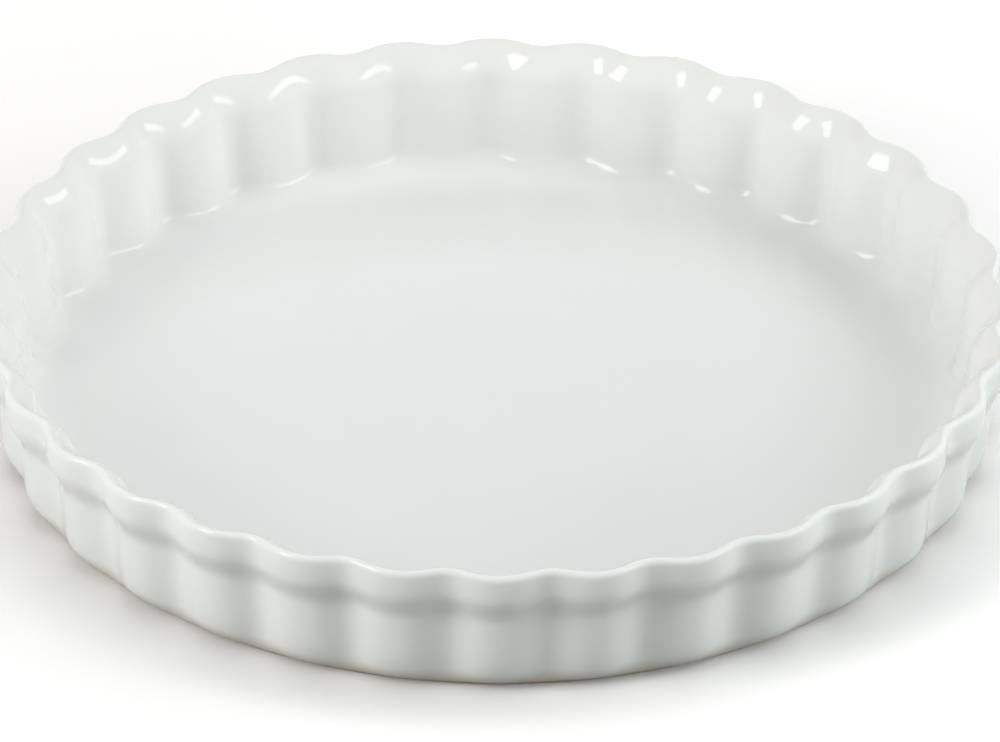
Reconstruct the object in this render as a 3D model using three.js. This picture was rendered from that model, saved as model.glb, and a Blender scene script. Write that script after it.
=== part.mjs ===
// A fluted tart dish in white glazed stoneware, 285 mm across the crests of its flutes.
// Millimetres, +Z up. The origin lies on the table under the middle of the dish, and a flute crest faces -Y.

import * as THREE from "three";
import { mergeVertices } from "three/addons/utils/BufferGeometryUtils.js";

// Finished sizes over the glaze. Radii run to the middle line of the flutes.
const HEIGHT = 40.7; // table to the top of the lip
const RIM_RADIUS = 141.2; // outer face of the rim
const RIM_BAND = 4.8; // height of the rounded outer face of the rim, up to the lip top
const RIM_OVERHANG = 4.2; // the rim stands out past the wall below it by this much
const NECK_RISE = 10.2; // height of the hollow curve between the wall and the rim
const LIP_THICKNESS = 4.6; // across the rounded lip
const LIP_ROUND = 2.3; // height of the lip's rounding on the inside
const SHOULDER_RISE = 5.4; // height of the slope that leads from the inner wall out to the lip
const WALL_THICKNESS = 4.3; // at the top of the wall
const OUTER_DRAFT = 0.8; // the outer wall leans in by this much towards its base
const INNER_DRAFT = 1.6; // the inner wall leans in by this much towards the floor
const BASE_CORNER_RISE = 10; // height of the rounded corner between the foot and the outer wall
const BASE_CORNER_REACH = 5; // how far that corner takes the foot in under the wall
const FLOOR_HEIGHT = 6; // table to the baking surface
const FLOOR_CORNER_RISE = 6.5; // height of the rounded corner inside
const FLOOR_CORNER_REACH = 9.5; // how far that corner reaches over the floor

// Flutes
const FLUTES = 32;
const FLUTE_DEPTH = 1.65; // from the middle line out to a crest
const FLUTE_PINCH = 0.11; // share of a second wave that narrows the valleys
const FACETS_PER_FLUTE = 5;

// Foot ring and glaze
const FOOT_WIDTH = 7; // flat, unglazed ring that stands on the table
const FOOT_BEVEL = 0.8; // softened outer edge of that ring
const UNDERSIDE_RECESS = 1; // table to the glazed underside within the ring
const GLAZE = 0.4; // thickness of the fired glaze
const GLAZE_LINE = 1; // the coat stops this far above the table
const GLAZE_MARGIN = 0.5; // bare clay left round the edge of the underside glaze
const GLAZE_CLEARANCE = 0.02; // keeps the solids of the clay and the glaze from sharing a surface

// Facets along the curves of the section
const CORNER_FACETS = 2;
const NECK_FACETS = 3;
const OUTER_LIP_FACETS = 2;
const INNER_LIP_FACETS = 1;
const FACETS_ROUND = FLUTES * FACETS_PER_FLUTE;
const FACET_ANGLE = (2 * Math.PI) / FACETS_ROUND;
const CORNER_PULL = 0.8; // how far the base corner swells towards the foot of the wall

const QUARTER_TURN = Math.PI / 2;
const WELD = 1e-4;

// A point of the half section. The share says how fully the flutes are formed there, from 0 to 1.
function sectionPoint(radius, height, share) {
  return { radius, height, share };
}

// The points of a curve after its first, with the flutes at the share that shareAt gives along it.
function alongCurve(curve, facets, shareAt) {
  const points = curve.getPoints(facets).slice(1);
  return points.map((p, i) => sectionPoint(p.x, p.y, shareAt((i + 1) / facets)));
}

const fullFlutes = () => 1;
const growingFlutes = (t) => Math.sin(t * QUARTER_TURN);
const fadingFlutes = (t) => Math.cos(t * QUARTER_TURN);

// The rounded corner from the glaze line up to the outer wall. Its flutes grow out of a plain circle.
function baseCorner(wallFoot) {
  const start = new THREE.Vector2(wallFoot.x - BASE_CORNER_REACH, GLAZE_LINE);
  const pull = new THREE.Vector2(
    THREE.MathUtils.lerp(start.x, wallFoot.x, CORNER_PULL),
    THREE.MathUtils.lerp(start.y, wallFoot.y, 1 - CORNER_PULL),
  );
  const corner = new THREE.QuadraticBezierCurve(start, pull, wallFoot);
  return [sectionPoint(start.x, start.y, 0), ...alongCurve(corner, CORNER_FACETS, growingFlutes)];
}

// The hollow curve that swings out from the top of the outer wall to the underside of the rim.
function neck(wallTop, rimFoot) {
  const middle = (wallTop.y + rimFoot.y) / 2;
  const curve = new THREE.CubicBezierCurve(
    wallTop,
    new THREE.Vector2(wallTop.x, middle),
    new THREE.Vector2(rimFoot.x, middle),
    rimFoot,
  );
  return alongCurve(curve, NECK_FACETS, fullFlutes);
}

// The rounded lip: a tall quarter ellipse outside and a lower one inside, meeting at the top.
function lip() {
  const middle = RIM_RADIUS - LIP_THICKNESS / 2;
  const half = LIP_THICKNESS / 2;
  const outside = new THREE.EllipseCurve(middle, HEIGHT - RIM_BAND, half, RIM_BAND, 0, QUARTER_TURN);
  const inside = new THREE.EllipseCurve(middle, HEIGHT - LIP_ROUND, half, LIP_ROUND, QUARTER_TURN, Math.PI);
  return [
    ...alongCurve(outside, OUTER_LIP_FACETS, fullFlutes),
    ...alongCurve(inside, INNER_LIP_FACETS, fullFlutes),
  ];
}

// The rounded corner from the inner wall down to the baking surface, where the flutes fade into a flat floor.
function floorCorner(wallFoot) {
  const corner = new THREE.QuadraticBezierCurve(
    wallFoot,
    new THREE.Vector2(wallFoot.x, FLOOR_HEIGHT),
    new THREE.Vector2(wallFoot.x - FLOOR_CORNER_REACH, FLOOR_HEIGHT),
  );
  return alongCurve(corner, CORNER_FACETS, fadingFlutes);
}

// The finished surface from the glaze line, up the outside, over the lip, down the inside and in to the axis.
function finishedSection() {
  const wallTop = new THREE.Vector2(RIM_RADIUS - RIM_OVERHANG, HEIGHT - RIM_BAND - NECK_RISE);
  const wallFoot = new THREE.Vector2(wallTop.x - OUTER_DRAFT, GLAZE_LINE + BASE_CORNER_RISE);
  const rimFoot = new THREE.Vector2(RIM_RADIUS, HEIGHT - RIM_BAND);
  const innerTop = new THREE.Vector2(wallTop.x - WALL_THICKNESS, HEIGHT - LIP_ROUND - SHOULDER_RISE);
  const innerFoot = new THREE.Vector2(innerTop.x - INNER_DRAFT, FLOOR_HEIGHT + FLOOR_CORNER_RISE);
  return [
    ...baseCorner(wallFoot),
    sectionPoint(wallTop.x, wallTop.y, 1),
    ...neck(wallTop, rimFoot),
    ...lip(),
    sectionPoint(innerTop.x, innerTop.y, 1),
    sectionPoint(innerFoot.x, innerFoot.y, 1),
    ...floorCorner(innerFoot),
    sectionPoint(0, FLOOR_HEIGHT, 0),
  ];
}

// The surface that lies a given depth below the finished one, towards the clay.
function sectionBelow(finished, depth) {
  const last = finished.length - 1;
  return finished.map((point, i) => {
    const into = new THREE.Vector2(-1, 0);
    if (i === last) into.set(0, -1);
    if (i > 0 && i < last) {
      const rise = finished[i + 1].height - finished[i - 1].height;
      const run = finished[i + 1].radius - finished[i - 1].radius;
      into.set(-rise, run).normalize();
    }
    return sectionPoint(point.radius + depth * into.x, point.height + depth * into.y, point.share);
  });
}

// How far the flutes push a point out at an angle round the axis, as a share of their depth.
function fluteWave(angle) {
  return Math.cos(FLUTES * angle) - FLUTE_PINCH * Math.cos(2 * FLUTES * angle);
}

// The section turned round the axis and fluted, as one closed surface. An edge runs along each crest.
function turned(section) {
  const outline = section.map((point) => new THREE.Vector2(point.radius, point.height));
  const geometry = new THREE.LatheGeometry(outline, FACETS_ROUND);
  const position = geometry.getAttribute("position");
  for (let i = 0; i < position.count; i += 1) {
    const point = section[i % section.length];
    const step = Math.floor(i / section.length) % FACETS_ROUND;
    const angle = step * FACET_ANGLE;
    const radius = point.radius + point.share * FLUTE_DEPTH * fluteWave(angle);
    position.setXYZ(i, radius * Math.sin(angle), point.height, radius * Math.cos(angle));
  }
  geometry.rotateX(QUARTER_TURN);
  return welded(geometry);
}

// The geometry with shared vertices joined and the slivers on the axis left out.
function welded(geometry) {
  geometry.deleteAttribute("normal");
  geometry.deleteAttribute("uv");
  const joined = mergeVertices(geometry, WELD);
  const corners = joined.getIndex().array;
  const kept = [];
  for (let i = 0; i < corners.length; i += 3) {
    const [a, b, c] = corners.slice(i, i + 3);
    if (a !== b && b !== c && c !== a) kept.push(a, b, c);
  }
  joined.setIndex(kept);
  joined.computeVertexNormals();
  return joined;
}

// The same surface with its faces looking the other way.
function insideOut(geometry) {
  const corners = Array.from(geometry.getIndex().array);
  geometry.setIndex(corners.reverse());
  geometry.computeVertexNormals();
  return geometry;
}

function bareStoneware() {
  return new THREE.MeshStandardMaterial({ color: 0xd8ccb8, roughness: 0.9, metalness: 0 });
}

function whiteGlaze() {
  return new THREE.MeshStandardMaterial({ color: 0xf2f4f1, roughness: 0.1, metalness: 0 });
}

function namedMesh(name, geometry, material) {
  const mesh = new THREE.Mesh(geometry, material);
  mesh.name = name;
  return mesh;
}

const finished = finishedSection();
const coatBack = sectionBelow(finished, GLAZE);
const clay = sectionBelow(finished, GLAZE + GLAZE_CLEARANCE);
const footOuter = clay[0].radius - FOOT_BEVEL;
const footInner = footOuter - FOOT_WIDTH;
const undersideBack = UNDERSIDE_RECESS + GLAZE;
const clayUnderside = undersideBack + GLAZE_CLEARANCE;

// The fired clay, from the recess under the floor, round the foot ring and over the whole form.
function stonewareBody() {
  const section = [
    sectionPoint(0, clayUnderside, 0),
    sectionPoint(footInner, clayUnderside, 0),
    sectionPoint(footInner, 0, 0),
    sectionPoint(footOuter, 0, 0),
    ...clay,
  ];
  return namedMesh("stoneware_body", turned(section), bareStoneware());
}

// The coat fired on to the clay. Its section runs out along the finished surface and back along the clay,
// which leaves its faces looking in until they are turned round.
function glazeCoat() {
  const section = [...finished].reverse().concat(coatBack);
  return namedMesh("glaze_coat", insideOut(turned(section)), whiteGlaze());
}

// The patch of glaze on the underside, which lies flat against the clay within the foot ring.
function undersideGlaze() {
  const edge = footInner - GLAZE_MARGIN;
  const section = [
    sectionPoint(0, UNDERSIDE_RECESS, 0),
    sectionPoint(edge, UNDERSIDE_RECESS, 0),
    sectionPoint(edge, undersideBack, 0),
    sectionPoint(0, undersideBack, 0),
  ];
  return namedMesh("underside_glaze", turned(section), whiteGlaze());
}

const dish = new THREE.Group();
dish.name = "tart_dish";
dish.add(stonewareBody(), glazeCoat(), undersideGlaze());

export default dish;
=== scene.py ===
"""A fluted tart dish in white glazed stoneware, standing on the white floor of a photographer's studio."""

from math import atan2, cos, hypot, pi, radians, sin

import bmesh
import bpy
from mathutils import Matrix, Vector
from mathutils.geometry import interpolate_bezier


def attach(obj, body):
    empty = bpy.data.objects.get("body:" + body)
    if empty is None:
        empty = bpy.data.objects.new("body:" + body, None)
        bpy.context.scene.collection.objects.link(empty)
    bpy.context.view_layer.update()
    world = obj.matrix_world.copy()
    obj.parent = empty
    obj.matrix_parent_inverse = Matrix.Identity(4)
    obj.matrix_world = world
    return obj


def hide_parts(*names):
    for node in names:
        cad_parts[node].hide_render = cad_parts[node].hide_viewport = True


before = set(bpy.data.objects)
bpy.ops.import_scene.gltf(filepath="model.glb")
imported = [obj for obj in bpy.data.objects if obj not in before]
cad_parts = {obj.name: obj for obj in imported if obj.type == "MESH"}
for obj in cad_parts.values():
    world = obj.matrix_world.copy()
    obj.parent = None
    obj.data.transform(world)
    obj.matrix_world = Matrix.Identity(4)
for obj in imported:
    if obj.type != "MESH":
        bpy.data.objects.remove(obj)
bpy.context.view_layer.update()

MM = 0.001
WELD = 0.001 * MM  # points closer than this are one point

# Finished sizes over the glaze, in millimetres. Radii run to the middle line of the flutes.
HEIGHT = 40.7  # table to the top of the lip
RIM_RADIUS = 141.19  # outer face of the rim
RIM_BAND = 6.2  # height of the upright outer face of the rim, up to the lip top
RIM_ROUND = 1.9  # height of the rounded edge at the top of that face
RIM_OVERHANG = 4.2  # the rim stands out past the wall below it by this much
NECK_RISE = 12.0  # height of the hollow curve between the wall and the rim
LIP_EDGE = 1.5  # the lip's highest line lies this far inside the rim's outer face
LIP_DROP = 9.2  # height of the rounded slope that leads from the lip top down to the inner wall
WALL_THICKNESS = 4.3  # at the top of the wall
OUTER_DRAFT = 0.8  # the outer wall leans in by this much towards its base
INNER_DRAFT = 2.2  # the inner wall leans in by this much towards the floor
BASE_CORNER_RISE = 10.0  # height of the rounded corner between the foot and the outer wall
BASE_CORNER_REACH = 4.0  # how far that corner takes the foot in under the wall
FLOOR_HEIGHT = 6.0  # table to the baking surface
FLOOR_CORNER_RISE = 7.0  # height of the rounded corner inside
FLOOR_CORNER_REACH = 9.5  # how far that corner reaches over the floor

LIP_RADIUS = RIM_RADIUS - LIP_EDGE

# How the curves of the section bend
NECK_EASE = 0.38  # share of the neck's rise over which each end leaves upright
LIP_TURN = 1.5  # length of the handle that turns the lip top down into its slope
BASE_CORNER_PULL = 0.8  # how far the base corner swells towards the foot of the wall
ROUND_HANDLE = 0.5523  # handle length that makes a quarter of an ellipse

# Flutes
FLUTES = 32
FLUTE_DEPTH = 1.65  # from the middle line out to a crest
FLUTE_PINCH = 0.11  # share of a second wave that narrows the valleys

# How finely the surface is divided
STEPS_PER_FLUTE = 24
STRAIGHT_STEPS = 2  # along an upright face
BASE_CORNER_STEPS = 8
NECK_STEPS = 9
RIM_ROUND_STEPS = 7
LIP_SLOPE_STEPS = 14
FLOOR_CORNER_STEPS = 9
FLOOR_RINGS = (0.94, 0.5, 0.0)  # places across the floor, as shares of the radius of its edge

# Foot ring and glaze
FOOT_WIDTH = 7.0  # flat, unglazed ring that stands on the table
FOOT_BEVEL = 0.8  # softened outer edge of that ring
FOOT_ROUND = 0.3  # rounding of the ring's own edges
UNDERSIDE_RECESS = 1.0  # table to the glazed underside within the ring
GLAZE = 0.4  # thickness of the fired glaze
GLAZE_LINE = 1.0  # the coat stops this far above the table
THIN_AND_SHADED_HEIGHT = 7.0  # up to this height the coat is thin and the clay shows through, and painted shade darkens it
GLAZE_MARGIN = 0.5  # bare clay left round the edge of the underside glaze
GLAZE_CLEARANCE = 0.02  # keeps the clay and the back of the glaze apart

# Patterns in the finishes, in millimetres
GLAZE_DRIFT = 45.0  # across a patch of thicker or thinner glaze
GLAZE_RIPPLE = 11.0  # across a slow wave in the surface of the glaze
CLAY_GRIT = 0.8  # across a speckle of the bare clay
RELIEF = 0.1  # height of the ripple and of the grit

# Colours of the finishes. Where there are two shades, the surface drifts from one to the other.
POOLED_GLAZE = "eaefed", "eef1ef"  # on the floor
# The outer wall's shades are painted lighter, as painted light, and the inner wall's darker, as painted shade.
OUTER_GLAZE_PAINTED_LIGHT = "ebf1ed", "eff4f0"
INNER_GLAZE_PAINTED_SHADE = "e6e8e4", "ebece8"
THIN_GLAZE_AND_FOOT_SHADE = "cdc7ba"  # thin glaze at the glaze line and on the underside, darkened with painted shade
BARE_CLAY = "cbbca4", "e0d5c2"

# The camera, in the photograph's own frame of 1000 by 742 pixels
PHOTO_SIZE = (1000, 742)
CAMERA_DISTANCE = 3378.0  # millimetres from the point of the table under the middle of the dish
CAMERA_TURN = radians(-0.66)  # the crest that faces the front stands this far off the camera's axis
CAMERA_ELEVATION = radians(32.07)
CAMERA_ROLL = radians(0.69)
FOCAL_PIXELS = 12218.0
MIDDLE_PIXEL = (494.4, 423.7)  # where the middle of the dish meets the table
SENSOR_WIDTH = 36.0  # millimetres
VIEW_END = 100.0  # metres

# The studio. The light from the left is a little warmer than that from the right and the front.
WHITE = "ffffff"
WARM, COOL = "fffdfc", "f6fbfc"
LAMP_DISTANCE = 1.5  # metres from the middle of the dish
# Lamps: name, azimuth and elevation in degrees, width and height in metres, radiance, colour
MIRRORED_LAMPS = (  # the glaze shows these as highlights
    ("left_lamp", -152, 39, 0.5, 0.85, 4.4, WARM),
    ("right_lamp", -14, 33, 1.3, 0.32, 3.5, COOL),
)
FILL_LAMPS = (  # the glaze doesn't show these, and the low ones at the sides bring out the flutes
    ("left_low_lamp", -152, 24, 0.55, 0.6, 4.2, WARM),
    ("left_side_lamp", -165, 8, 0.6, 0.3, 12.0, WARM),
    ("right_front_lamp", -35, 20, 0.6, 0.4, 5.2, COOL),
    ("right_side_lamp", 0, 13, 0.8, 0.4, 5.8, COOL),
    ("right_high_lamp", 0, 45, 0.8, 0.4, 3.6, WHITE),
    ("overhead_lamp", 90, 80, 1.2, 0.6, 2.2, WHITE),
    ("back_lamp", 90, 38, 1.2, 0.6, 2.4, WHITE),
    ("front_lamp", -90, 12, 1.2, 0.4, 2.3, COOL),
)
PAPER = "fffefd"  # the paper as the camera sees it
PAPER_BOUNCE = "867f75"  # the dimmer, warmer light that it throws up at the dish
PAPER_GLOW = 0.13  # painted light that brings the paper up to white all round the dish
GLOW_START, GLOW_FULL = 0.135, 0.165  # metres from the middle of the dish; nearer in, the glow fades out and deepens the dish's shadow with painted shade
PAPER_HALF_WIDTH = 4.0  # metres


class SectionPoint:
    """A point of the half section, in millimetres.

    The flutes are formed there by a share from 0 to 1. A point on the inside of the dish follows the lip's
    flutes as a parallel curve does, which rounds the ribs and pinches the hollows between them.
    """

    def __init__(self, radius, height, flutes=0.0, inside=False):
        self.radius = radius
        self.height = height
        self.flutes = flutes
        self.inside = inside


def bend(start, start_handle, end_handle, end, count, flutes_at=lambda t: 1.0, inside=False):
    """The points of a smooth bend after its first, given as (radius, height) pairs."""
    corners = [Vector(pair) for pair in (start, start_handle, end_handle, end)]
    points = interpolate_bezier(*corners, count + 1)[1:]
    return [SectionPoint(p.x, p.y, flutes_at((i + 1) / count), inside) for i, p in enumerate(points)]


def corner_handles(start, pull, end):
    """The two handles of a bend that is drawn towards one pulling point."""
    share = 2 / 3  # turns a curve with one handle into the same curve with two
    first = Vector(start).lerp(Vector(pull), share)
    second = Vector(end).lerp(Vector(pull), share)
    return first, second


def straight(start, end, inside=False):
    """The points of a straight stretch after its first."""
    return bend(start, start, end, end, STRAIGHT_STEPS, inside=inside)


def growing(t):
    """The share of the flutes along the base corner, where they grow out of a round foot."""
    return sin(t * pi / 2)


def fading(t):
    """The share of the flutes along the floor corner, where they fade into a flat floor."""
    return 1 - t**2


def finished_section():
    """The glazed surface: up the outside from the glaze line, over the lip and down inside to the axis."""
    wall_top = (RIM_RADIUS - RIM_OVERHANG, HEIGHT - RIM_BAND - NECK_RISE)
    wall_foot = (wall_top[0] - OUTER_DRAFT, GLAZE_LINE + BASE_CORNER_RISE)
    rim_foot = (RIM_RADIUS, HEIGHT - RIM_BAND)
    rim_edge = (RIM_RADIUS, HEIGHT - RIM_ROUND)
    lip_top = (LIP_RADIUS, HEIGHT)
    inner_top = (wall_top[0] - WALL_THICKNESS, HEIGHT - LIP_DROP)
    inner_foot = (inner_top[0] - INNER_DRAFT, FLOOR_HEIGHT + FLOOR_CORNER_RISE)
    floor_edge = (inner_foot[0] - FLOOR_CORNER_REACH, FLOOR_HEIGHT)
    glaze_edge = (wall_foot[0] - BASE_CORNER_REACH, GLAZE_LINE)
    base_pull = (
        glaze_edge[0] + BASE_CORNER_REACH * BASE_CORNER_PULL,
        glaze_edge[1] + BASE_CORNER_RISE * (1 - BASE_CORNER_PULL),
    )
    floor_pull = (inner_foot[0], FLOOR_HEIGHT)
    inner_lean = (Vector(inner_top) - Vector(inner_foot)).normalized()
    section = [SectionPoint(*glaze_edge)]
    section += bend(
        glaze_edge,
        *corner_handles(glaze_edge, base_pull, wall_foot),
        wall_foot,
        BASE_CORNER_STEPS,
        growing,
    )
    section += straight(wall_foot, wall_top)
    section += bend(
        wall_top,
        (wall_top[0], wall_top[1] + NECK_RISE * NECK_EASE),
        (rim_foot[0], rim_foot[1] - NECK_RISE * NECK_EASE),
        rim_foot,
        NECK_STEPS,
    )
    section += straight(rim_foot, rim_edge)
    section += bend(
        rim_edge,
        (rim_edge[0], rim_edge[1] + RIM_ROUND * ROUND_HANDLE),
        (lip_top[0] + LIP_EDGE * ROUND_HANDLE, lip_top[1]),
        lip_top,
        RIM_ROUND_STEPS,
    )
    section += bend(
        lip_top,
        (lip_top[0] - LIP_TURN, lip_top[1]),
        Vector(inner_top) + inner_lean * LIP_DROP / 2,
        inner_top,
        LIP_SLOPE_STEPS,
        inside=True,
    )
    section += straight(inner_top, inner_foot, inside=True)
    section += bend(
        inner_foot,
        *corner_handles(inner_foot, floor_pull, floor_edge),
        floor_edge,
        FLOOR_CORNER_STEPS,
        fading,
        inside=True,
    )
    section += [SectionPoint(floor_edge[0] * share, FLOOR_HEIGHT, inside=True) for share in FLOOR_RINGS]
    return section


def section_below(section, depth):
    """The surface that lies a given depth below the finished one, towards the clay."""
    lowered = []
    last = len(section) - 1
    for i, point in enumerate(section):
        into = Vector((-1, 0)) if i == 0 else Vector((0, -1))
        if 0 < i < last:
            before, after = section[i - 1], section[i + 1]
            into = Vector((before.height - after.height, after.radius - before.radius)).normalized()
        place = point.radius + depth * into.x, point.height + depth * into.y
        lowered.append(SectionPoint(*place, point.flutes, point.inside))
    return lowered


def fluted(place, flutes, inside):
    """A place of the spun section, in metres, moved to where the flutes put it."""
    radius = hypot(place.x, place.y)
    if radius < MM:
        return place
    outward = Vector((place.x, place.y, 0)) / radius
    along = Vector((-outward.y, outward.x, 0))
    angle = FLUTES * atan2(place.x, -place.y)
    depth = flutes * FLUTE_DEPTH * MM
    inset = max(0.0, LIP_RADIUS * MM - radius) if inside else 0.0
    crest = radius + inset + depth * (cos(angle) - FLUTE_PINCH * cos(2 * angle))
    slope = depth * FLUTES * (2 * FLUTE_PINCH * sin(2 * angle) - sin(angle))
    facing = (outward * crest - along * slope).normalized()
    return outward * crest - facing * inset + Vector((0, 0, place.z))


def turned(name, section):
    """A mesh object: the section spun round the axis and pushed out into flutes."""
    bm = bmesh.new()
    flutes = bm.verts.layers.float.new("flutes")
    inside = bm.verts.layers.float.new("inside")
    for point in section:
        vertex = bm.verts.new((point.radius * MM, 0, point.height * MM))
        vertex[flutes] = point.flutes
        vertex[inside] = float(point.inside)
    bm.verts.ensure_lookup_table()
    for first, second in zip(bm.verts[:-1], bm.verts[1:]):
        bm.edges.new((first, second))
    bmesh.ops.spin(
        bm,
        geom=bm.verts[:] + bm.edges[:],
        cent=(0, 0, 0),
        axis=(0, 0, 1),
        angle=2 * pi,
        steps=FLUTES * STEPS_PER_FLUTE,
        use_merge=True,
    )
    bmesh.ops.remove_doubles(bm, verts=bm.verts[:], dist=WELD)
    bmesh.ops.recalc_face_normals(bm, faces=bm.faces[:])
    for vertex in bm.verts:
        vertex.co = fluted(vertex.co, vertex[flutes], vertex[inside] > 0)
    for face in bm.faces:
        face.smooth = True
    mesh = bpy.data.meshes.new(name)
    bm.to_mesh(mesh)
    bm.free()
    piece = bpy.data.objects.new(name, mesh)
    bpy.context.scene.collection.objects.link(piece)
    return piece


def dress(piece, material, node):
    """Gives the piece its finish and its place in the frame."""
    piece.data.materials.append(material)
    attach(piece, "root")
    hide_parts(node)


def linear(hex_code):
    """An sRGB colour such as "e4e8e5" as linear red, green, blue and alpha."""
    shares = [int(hex_code[i : i + 2], 16) / 255 for i in (0, 2, 4)]
    return [s / 12.92 if s <= 0.04045 else ((s + 0.055) / 1.055) ** 2.4 for s in shares] + [1.0]


def add_node(tree, kind, inputs=None, **settings):
    """Adds a node with its settings, and sets or links its inputs by name or number."""
    node = tree.nodes.new(kind)
    for name, value in settings.items():
        setattr(node, name, value)
    for name, value in (inputs or {}).items():
        if isinstance(value, bpy.types.NodeSocket):
            tree.links.new(value, node.inputs[name])
        else:
            node.inputs[name].default_value = value
    return node


def new_material(name):
    """A material with nothing in it yet, and its tree of nodes."""
    material = bpy.data.materials.new(name)
    material.use_nodes = True
    material.node_tree.nodes.clear()
    return material, material.node_tree


def fired_white_glaze():
    """Opaque white glaze, dipped and fired on stoneware.

    It is white with a breath of green, cooler where it pools on the floor and warmer on the inner wall, where
    it lies thin. Its outer wall is painted lighter and its inner wall darker, as painted light and shade. Just
    above the foot and on the underside it is thinnest, the clay shows through, and painted shade darkens it.
    Its slow waves bend the highlights, and its gloss changes a little from place to place.
    """
    material, tree = new_material("fired_white_glaze")
    place = add_node(tree, "ShaderNodeTexCoord").outputs["Object"]
    flutes = add_node(tree, "ShaderNodeAttribute", attribute_name="flutes").outputs["Fac"]
    inside = add_node(tree, "ShaderNodeAttribute", attribute_name="inside").outputs["Fac"]
    waves = {"Vector": place, "Scale": 1 / (GLAZE_DRIFT * MM), "Detail": 3.0}
    drift = add_node(tree, "ShaderNodeTexNoise", waves).outputs["Fac"]
    waves = {"Vector": place, "Scale": 1 / (GLAZE_RIPPLE * MM), "Detail": 2.0}
    ripple = add_node(tree, "ShaderNodeTexNoise", waves).outputs["Fac"]
    tints = []
    for first, second in (POOLED_GLAZE, OUTER_GLAZE_PAINTED_LIGHT, INNER_GLAZE_PAINTED_SHADE):
        colours = {"Factor": drift, "A": linear(first), "B": linear(second)}
        tints.append(add_node(tree, "ShaderNodeMix", colours, data_type="RGBA").outputs["Result"])
    # the outer tint carries painted light, the inner tint painted shade
    pooled, outer, inner = tints
    height = add_node(tree, "ShaderNodeSeparateXYZ", {0: place}).outputs["Z"]
    # Towards the foot the outer tint turns to the thin glaze, which is darkened there as painted shade.
    thin_and_shaded = add_node(
        tree,
        "ShaderNodeMapRange",
        {"Value": height, "From Min": GLAZE_LINE * MM, "From Max": THIN_AND_SHADED_HEIGHT * MM},
        interpolation_type="SMOOTHSTEP",
    )
    colours = {"Factor": thin_and_shaded.outputs["Result"], "A": linear(THIN_GLAZE_AND_FOOT_SHADE), "B": outer}
    outside = add_node(tree, "ShaderNodeMix", colours, data_type="RGBA").outputs["Result"]
    colours = {"Factor": flutes, "A": pooled, "B": inner}
    within = add_node(tree, "ShaderNodeMix", colours, data_type="RGBA").outputs["Result"]
    colours = {"Factor": inside, "A": outside, "B": within}
    tint = add_node(tree, "ShaderNodeMix", colours, data_type="RGBA").outputs["Result"]
    gloss = add_node(tree, "ShaderNodeMapRange", {"Value": ripple, "To Min": 0.05, "To Max": 0.09})
    bump = add_node(tree, "ShaderNodeBump", {"Height": ripple, "Strength": 0.1, "Distance": RELIEF * MM})
    shader = add_node(
        tree,
        "ShaderNodeBsdfPrincipled",
        {
            "Base Color": tint,
            "Roughness": gloss.outputs["Result"],
            "IOR": 1.5,
            "Normal": bump.outputs["Normal"],
        },
    )
    add_node(tree, "ShaderNodeOutputMaterial", {"Surface": shader.outputs["BSDF"]})
    return material


def bare_stoneware():
    """Stoneware clay, fired and left unglazed. It is matt and buff, with a fine, rough speckle of grit."""
    material, tree = new_material("bare_stoneware")
    place = add_node(tree, "ShaderNodeTexCoord").outputs["Object"]
    grains = {"Vector": place, "Scale": 1 / (CLAY_GRIT * MM), "Detail": 4.0}
    grit = add_node(tree, "ShaderNodeTexNoise", grains).outputs["Fac"]
    dark, light = BARE_CLAY
    colours = {"Factor": grit, "A": linear(dark), "B": linear(light)}
    tint = add_node(tree, "ShaderNodeMix", colours, data_type="RGBA").outputs["Result"]
    bump = add_node(tree, "ShaderNodeBump", {"Height": grit, "Strength": 0.4, "Distance": RELIEF * MM})
    shader = add_node(
        tree,
        "ShaderNodeBsdfPrincipled",
        {"Base Color": tint, "Roughness": 0.85, "Normal": bump.outputs["Normal"]},
    )
    add_node(tree, "ShaderNodeOutputMaterial", {"Surface": shader.outputs["BSDF"]})
    return material


def make_dish():
    """The glaze coat, the clay form under it and the glaze patch on the underside."""
    finished = finished_section()
    clay = section_below(finished, GLAZE + GLAZE_CLEARANCE)
    foot_outer = clay[0].radius - FOOT_BEVEL
    foot_inner = foot_outer - FOOT_WIDTH
    underside_back = UNDERSIDE_RECESS + GLAZE
    clay_underside = underside_back + GLAZE_CLEARANCE

    coat = turned("white_glaze_coat", finished[::-1] + section_below(finished, GLAZE))

    foot = [
        SectionPoint(0, clay_underside),
        SectionPoint(foot_inner - FOOT_ROUND, clay_underside),
        SectionPoint(foot_inner, clay_underside),
        SectionPoint(foot_inner, clay_underside - FOOT_ROUND),
        SectionPoint(foot_inner, FOOT_ROUND),
        SectionPoint(foot_inner, 0),
        SectionPoint(foot_inner + FOOT_ROUND, 0),
        SectionPoint(foot_outer - FOOT_ROUND, 0),
        SectionPoint(foot_outer, 0),
    ]
    body = turned("stoneware_form", foot + clay)

    edge = foot_inner - GLAZE_MARGIN
    pool = [
        SectionPoint(0, UNDERSIDE_RECESS),
        SectionPoint(edge - 2 * GLAZE, UNDERSIDE_RECESS),
        SectionPoint(edge - GLAZE, UNDERSIDE_RECESS),
        SectionPoint(edge, UNDERSIDE_RECESS + GLAZE / 2),
        SectionPoint(edge, underside_back),
        SectionPoint(0, underside_back),
    ]
    patch = turned("underside_glaze_patch", pool)

    glaze = fired_white_glaze()
    dress(coat, glaze, "glaze_coat")
    dress(body, bare_stoneware(), "stoneware_body")
    dress(patch, glaze, "underside_glaze")


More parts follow.
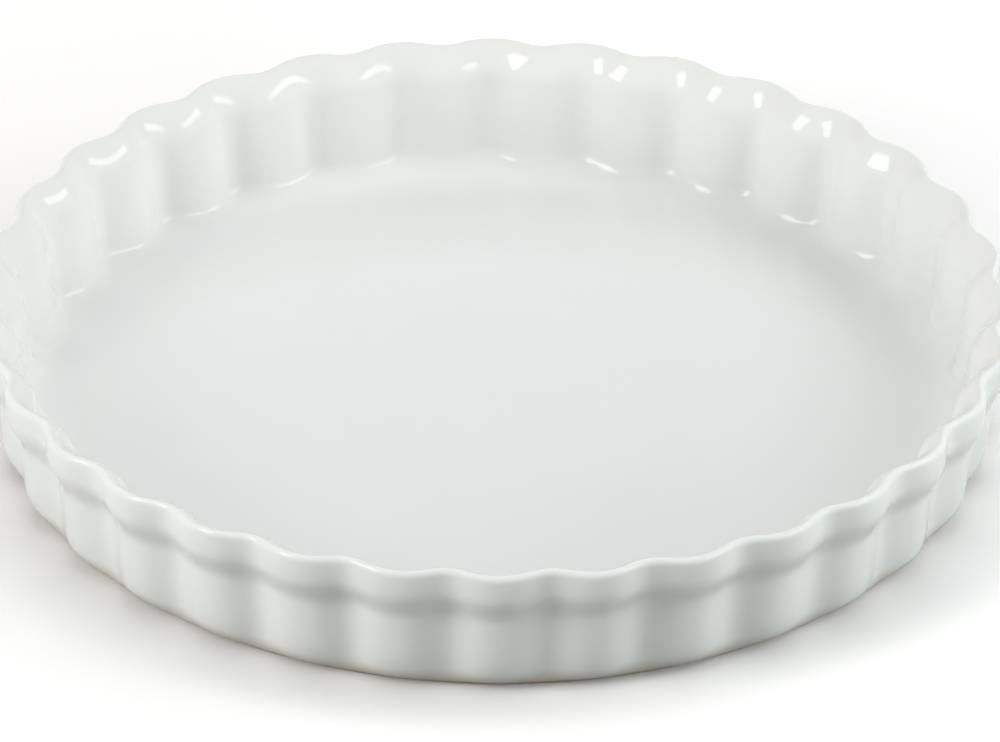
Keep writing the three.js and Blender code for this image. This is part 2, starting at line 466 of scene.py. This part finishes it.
def make_camera():
    """A camera that sees the dish as the photograph does."""
    data = bpy.data.cameras.new("camera")
    camera = bpy.data.objects.new("camera", data)
    bpy.context.scene.collection.objects.link(camera)
    bpy.context.scene.camera = camera
    data.sensor_width = SENSOR_WIDTH
    data.lens = FOCAL_PIXELS / PHOTO_SIZE[0] * SENSOR_WIDTH
    data.clip_end = VIEW_END
    turn = Matrix.Rotation(CAMERA_TURN, 3, "Z")
    back = turn @ Vector((0, -cos(CAMERA_ELEVATION), sin(CAMERA_ELEVATION)))
    right = turn @ Vector((1, 0, 0))
    up = back.cross(right)
    per_pixel = CAMERA_DISTANCE / FOCAL_PIXELS
    across = (PHOTO_SIZE[0] / 2 - MIDDLE_PIXEL[0]) * per_pixel
    above = (MIDDLE_PIXEL[1] - PHOTO_SIZE[1] / 2) * per_pixel
    position = back * CAMERA_DISTANCE
    forward = right * across + up * above - position
    aim = forward.to_track_quat("-Z", "Y").to_matrix().to_4x4()
    camera.matrix_world = Matrix.Translation(position * MM) @ aim @ Matrix.Rotation(CAMERA_ROLL, 4, "Z")


def softbox(name, azimuth, elevation, width, height, radiance, colour):
    """A rectangular studio light that looks at the dish.

    A white card lit from all sides by radiance 1 looks white.
    """
    data = bpy.data.lights.new(name, "AREA")
    data.shape = "RECTANGLE"
    data.size = width
    data.size_y = height
    data.energy = radiance * pi * width * height
    data.color = linear(colour)[:3]
    lamp = bpy.data.objects.new(name, data)
    bpy.context.scene.collection.objects.link(lamp)
    turn, rise = radians(azimuth), radians(elevation)
    towards = Vector((cos(turn) * cos(rise), sin(turn) * cos(rise), sin(rise)))
    aim = towards.to_track_quat("Z", "Y").to_matrix().to_4x4()
    lamp.matrix_world = Matrix.Translation(towards * LAMP_DISTANCE) @ aim
    lamp.visible_camera = False
    return lamp


def looked_at(tree):
    """1 for rays that come from the camera or a mirrored or clear surface, 0 for light that spreads."""
    rays = add_node(tree, "ShaderNodeLightPath").outputs
    mirrored = add_node(
        tree, "ShaderNodeMath", {0: rays["Is Camera Ray"], 1: rays["Is Glossy Ray"]}, operation="MAXIMUM"
    )
    seen = add_node(
        tree, "ShaderNodeMath", {0: mirrored.outputs[0], 1: rays["Is Transmission Ray"]}, operation="MAXIMUM"
    )
    return seen.outputs[0]


def studio_paper():
    """Matt white paper that keeps the dish's shadow, with a painted glow that fades out near the dish. It
    throws little light back at the dish.
    """
    material, tree = new_material("studio_paper")
    place = add_node(tree, "ShaderNodeTexCoord").outputs["Object"]
    distance = add_node(tree, "ShaderNodeVectorMath", {0: place}, operation="LENGTH").outputs["Value"]
    glow = add_node(
        tree,
        "ShaderNodeMapRange",
        {"Value": distance, "From Min": GLOW_START, "From Max": GLOW_FULL, "To Max": PAPER_GLOW},
        interpolation_type="SMOOTHSTEP",
    )
    spread = add_node(tree, "ShaderNodeBsdfDiffuse", {"Color": linear(PAPER_BOUNCE)})
    paper = add_node(tree, "ShaderNodeBsdfDiffuse", {"Color": linear(PAPER)})
    light = add_node(tree, "ShaderNodeEmission", {"Color": linear(WHITE), "Strength": glow.outputs["Result"]})
    lit = add_node(tree, "ShaderNodeAddShader", {0: paper.outputs[0], 1: light.outputs[0]})
    surface = add_node(
        tree, "ShaderNodeMixShader", {0: looked_at(tree), 1: spread.outputs[0], 2: lit.outputs[0]}
    )
    add_node(tree, "ShaderNodeOutputMaterial", {"Surface": surface.outputs[0]})
    return material


def make_studio():
    """The paper that the dish stands on, the white walls that the glaze mirrors, and the lamps."""
    bm = bmesh.new()
    bmesh.ops.create_grid(bm, x_segments=1, y_segments=1, size=PAPER_HALF_WIDTH)
    mesh = bpy.data.meshes.new("studio_floor")
    bm.to_mesh(mesh)
    bm.free()
    floor = bpy.data.objects.new("studio_floor", mesh)
    bpy.context.scene.collection.objects.link(floor)
    mesh.materials.append(studio_paper())

    world = bpy.data.worlds.new("studio_walls")
    bpy.context.scene.world = world
    world.use_nodes = True
    tree = world.node_tree
    tree.nodes.clear()
    walls = add_node(tree, "ShaderNodeBackground", {"Color": linear(WHITE), "Strength": looked_at(tree)})
    add_node(tree, "ShaderNodeOutputWorld", {"Surface": walls.outputs[0]})

    for lamp in MIRRORED_LAMPS:
        softbox(*lamp)
    for lamp in FILL_LAMPS:
        softbox(*lamp).visible_glossy = False


make_dish()
make_camera()
make_studio()
bpy.context.scene.view_settings.view_transform = "Standard"
